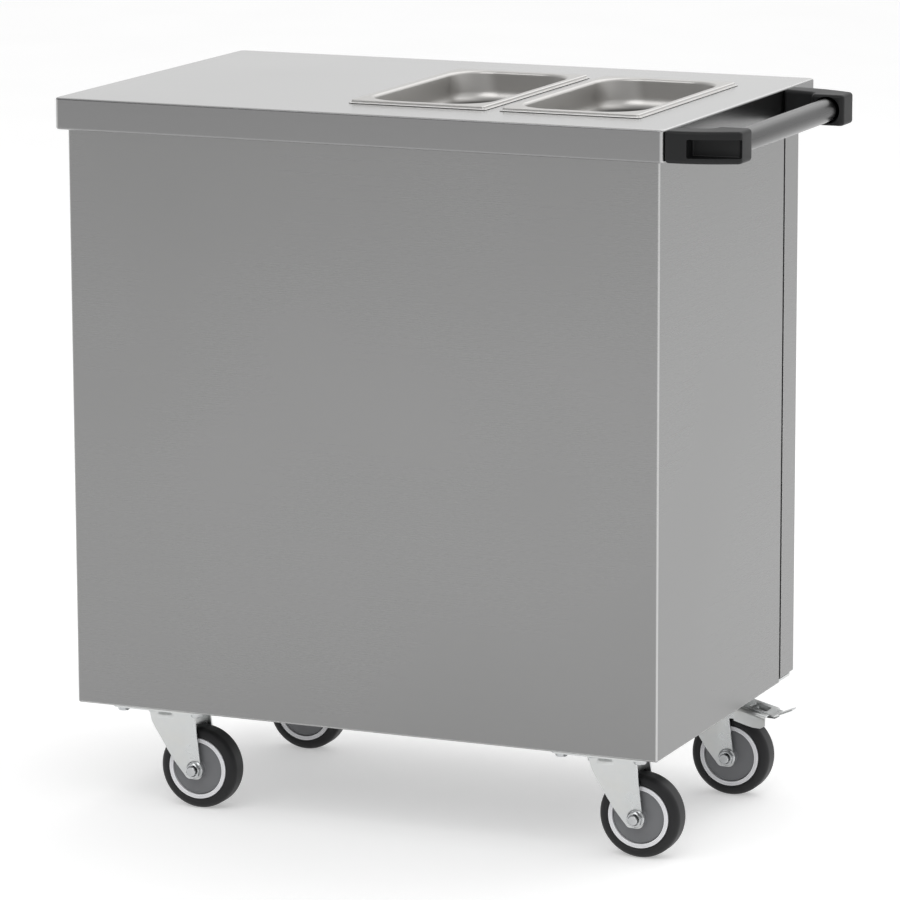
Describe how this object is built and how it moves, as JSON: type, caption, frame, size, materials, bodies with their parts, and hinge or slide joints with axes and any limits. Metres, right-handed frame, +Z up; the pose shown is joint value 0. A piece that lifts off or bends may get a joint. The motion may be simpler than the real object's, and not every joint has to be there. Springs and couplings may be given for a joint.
{
  "type": "steam table unit",
  "caption": "Mobile heated food cart: closed stainless cabinet on braked swivel casters, shallow food pans sunk in the worktop, hinged doors at the back and a push handle at one end.",
  "frame": {"origin": "on the floor under the middle of the unit's bounding box", "axes": "+X towards the push handle, +Y towards the operator's side with the doors, +Z up"},
  "size_m": [0.855, 0.509, 0.8685],
  "materials": {
    "worktop_steel": "brushed stainless steel, lighter seen from above",
    "casing_steel": "brushed stainless steel sheet",
    "inner_steel": "plain stainless sheet inside the cabinet",
    "pan_steel": "satin stainless steel, slightly warm",
    "tube_steel": "polished stainless tube",
    "zinc": "bright zinc-plated pressed steel",
    "handle_plastic": "anthracite moulded plastic, semi-matte",
    "tyre_rubber": "black non-marking rubber",
    "hub_plastic": "grey moulded plastic",
    "gasket_rubber": "soft grey door seal",
    "element_metal": "dull heating element sheath",
    "brass": "brass valve body",
    "red_plastic": "red plastic",
    "black_plastic": "black moulded plastic"
  },
  "bodies": {
    "cabinet": {"worktop": "worktop_steel", "casing": "casing_steel", "control_panel": "casing_steel", "floor_pan": "inner_steel", "base_rail_left": "inner_steel", "base_rail_right": "inner_steel", "rear_frame": "inner_steel", "shelf": "inner_steel", "shelf_runner_left": "inner_steel", "shelf_runner_right": "inner_steel", "water_tank": "inner_steel", "tank_jacket": "inner_steel", "handle_tube": "tube_steel", "door_left_hinge_top": "zinc", "door_left_hinge_bottom": "zinc", "door_right_hinge_top": "zinc", "door_right_hinge_bottom": "zinc", "heating_element": "element_metal", "drain_valve": "brass", "pilot_lamp": "red_plastic", "thermostat": "black_plastic", "cable_gland": "black_plastic", "handle_bracket_front": "handle_plastic", "handle_bracket_rear": "handle_plastic", "caster_front_left_plate": "zinc", "caster_front_right_plate": "zinc", "caster_rear_left_plate": "zinc", "caster_rear_right_plate": "zinc"},
    "door_left": {"door_left_shell": "casing_steel", "door_left_liner": "inner_steel", "door_left_gasket": "gasket_rubber", "door_left_pull": "tube_steel"},
    "door_right": {"door_right_shell": "casing_steel", "door_right_liner": "inner_steel", "door_right_gasket": "gasket_rubber", "door_right_pull": "tube_steel"},
    "pan_left": {"pan_left": "pan_steel"},
    "pan_right": {"pan_right": "pan_steel"},
    "drain_lever": {"drain_lever": "red_plastic"},
    "thermostat_knob": {"thermostat_knob": "black_plastic"},
    "rocker_switch": {"rocker_switch": "black_plastic"},
    "caster_front_left_swivel": {"caster_front_left_fork": "zinc", "caster_front_left_axle": "zinc"},
    "caster_front_left_wheel": {"caster_front_left_tyre": "tyre_rubber", "caster_front_left_hub": "hub_plastic"},
    "caster_front_right_swivel": {"caster_front_right_fork": "zinc", "caster_front_right_axle": "zinc"},
    "caster_front_right_wheel": {"caster_front_right_tyre": "tyre_rubber", "caster_front_right_hub": "hub_plastic"},
    "caster_rear_left_swivel": {"caster_rear_left_fork": "zinc", "caster_rear_left_axle": "zinc"},
    "caster_rear_left_wheel": {"caster_rear_left_tyre": "tyre_rubber", "caster_rear_left_hub": "hub_plastic"},
    "caster_rear_left_pedal": {"caster_rear_left_pedal": "zinc"},
    "caster_rear_right_swivel": {"caster_rear_right_fork": "zinc", "caster_rear_right_axle": "zinc"},
    "caster_rear_right_wheel": {"caster_rear_right_tyre": "tyre_rubber", "caster_rear_right_hub": "hub_plastic"},
    "caster_rear_right_pedal": {"caster_rear_right_pedal": "zinc"}
  },
  "joints": [
    {"name": "door_left_hinge", "type": "hinge", "parent": "cabinet", "child": "door_left", "pos_m": [-0.4075, 0.2165, 0.133], "axis": [0, 0, 1], "range_deg": [0, 110]},
    {"name": "door_right_hinge", "type": "hinge", "parent": "cabinet", "child": "door_right", "pos_m": [0.3225, 0.2165, 0.133], "axis": [0, 0, -1], "range_deg": [0, 110]},
    {"name": "pan_left_lift", "type": "slide", "parent": "cabinet", "child": "pan_left", "axis": [0, 0, 1], "range_m": [0, 0.25]},
    {"name": "pan_right_lift", "type": "slide", "parent": "cabinet", "child": "pan_right", "axis": [0, 0, 1], "range_m": [0, 0.25]},
    {"name": "drain_lever_turn", "type": "hinge", "parent": "cabinet", "child": "drain_lever", "pos_m": [0.2425, 0.1308, 0.709], "axis": [0, -1, 0], "range_deg": [0, 90]},
    {"name": "thermostat_knob_turn", "type": "hinge", "parent": "cabinet", "child": "thermostat_knob", "pos_m": [-0.3955, -0.0045, 0.77], "axis": [1, 0, 0], "range_deg": [0, 270]},
    {"name": "rocker_switch_tilt", "type": "hinge", "parent": "cabinet", "child": "rocker_switch", "pos_m": [-0.39625, -0.0645, 0.77], "axis": [0, 1, 0], "range_deg": [0, 12]},
    {"name": "caster_front_left_swivel_turn", "type": "hinge", "parent": "cabinet", "child": "caster_front_left_swivel", "pos_m": [-0.3165, -0.1865, 0.12], "axis": [0, 0, 1], "continuous": true},
    {"name": "caster_front_left_wheel_spin", "type": "hinge", "parent": "caster_front_left_swivel", "child": "caster_front_left_wheel", "pos_m": [-0.2765, -0.1865, 0.05], "axis": [0, 1, 0], "continuous": true},
    {"name": "caster_front_right_swivel_turn", "type": "hinge", "parent": "cabinet", "child": "caster_front_right_swivel", "pos_m": [0.2545, -0.1865, 0.12], "axis": [0, 0, 1], "continuous": true},
    {"name": "caster_front_right_wheel_spin", "type": "hinge", "parent": "caster_front_right_swivel", "child": "caster_front_right_wheel", "pos_m": [0.2945, -0.1865, 0.05], "axis": [0, 1, 0], "continuous": true},
    {"name": "caster_rear_left_swivel_turn", "type": "hinge", "parent": "cabinet", "child": "caster_rear_left_swivel", "pos_m": [-0.3165, 0.1175, 0.12], "axis": [0, 0, 1], "continuous": true},
    {"name": "caster_rear_left_wheel_spin", "type": "hinge", "parent": "caster_rear_left_swivel", "child": "caster_rear_left_wheel", "pos_m": [-0.2765, 0.1175, 0.05], "axis": [0, 1, 0], "continuous": true},
    {"name": "caster_rear_left_pedal_press", "type": "hinge", "parent": "caster_rear_left_swivel", "child": "caster_rear_left_pedal", "pos_m": [-0.2565, 0.1175, 0.104], "axis": [0, 1, 0], "range_deg": [0, 12]},
    {"name": "caster_rear_right_swivel_turn", "type": "hinge", "parent": "cabinet", "child": "caster_rear_right_swivel", "pos_m": [0.2545, 0.1175, 0.12], "axis": [0, 0, 1], "continuous": true},
    {"name": "caster_rear_right_wheel_spin", "type": "hinge", "parent": "caster_rear_right_swivel", "child": "caster_rear_right_wheel", "pos_m": [0.2945, 0.1175, 0.05], "axis": [0, 1, 0], "continuous": true},
    {"name": "caster_rear_right_pedal_press", "type": "hinge", "parent": "caster_rear_right_swivel", "child": "caster_rear_right_pedal", "pos_m": [0.3145, 0.1175, 0.104], "axis": [0, 1, 0], "range_deg": [0, 12]}
  ]
}
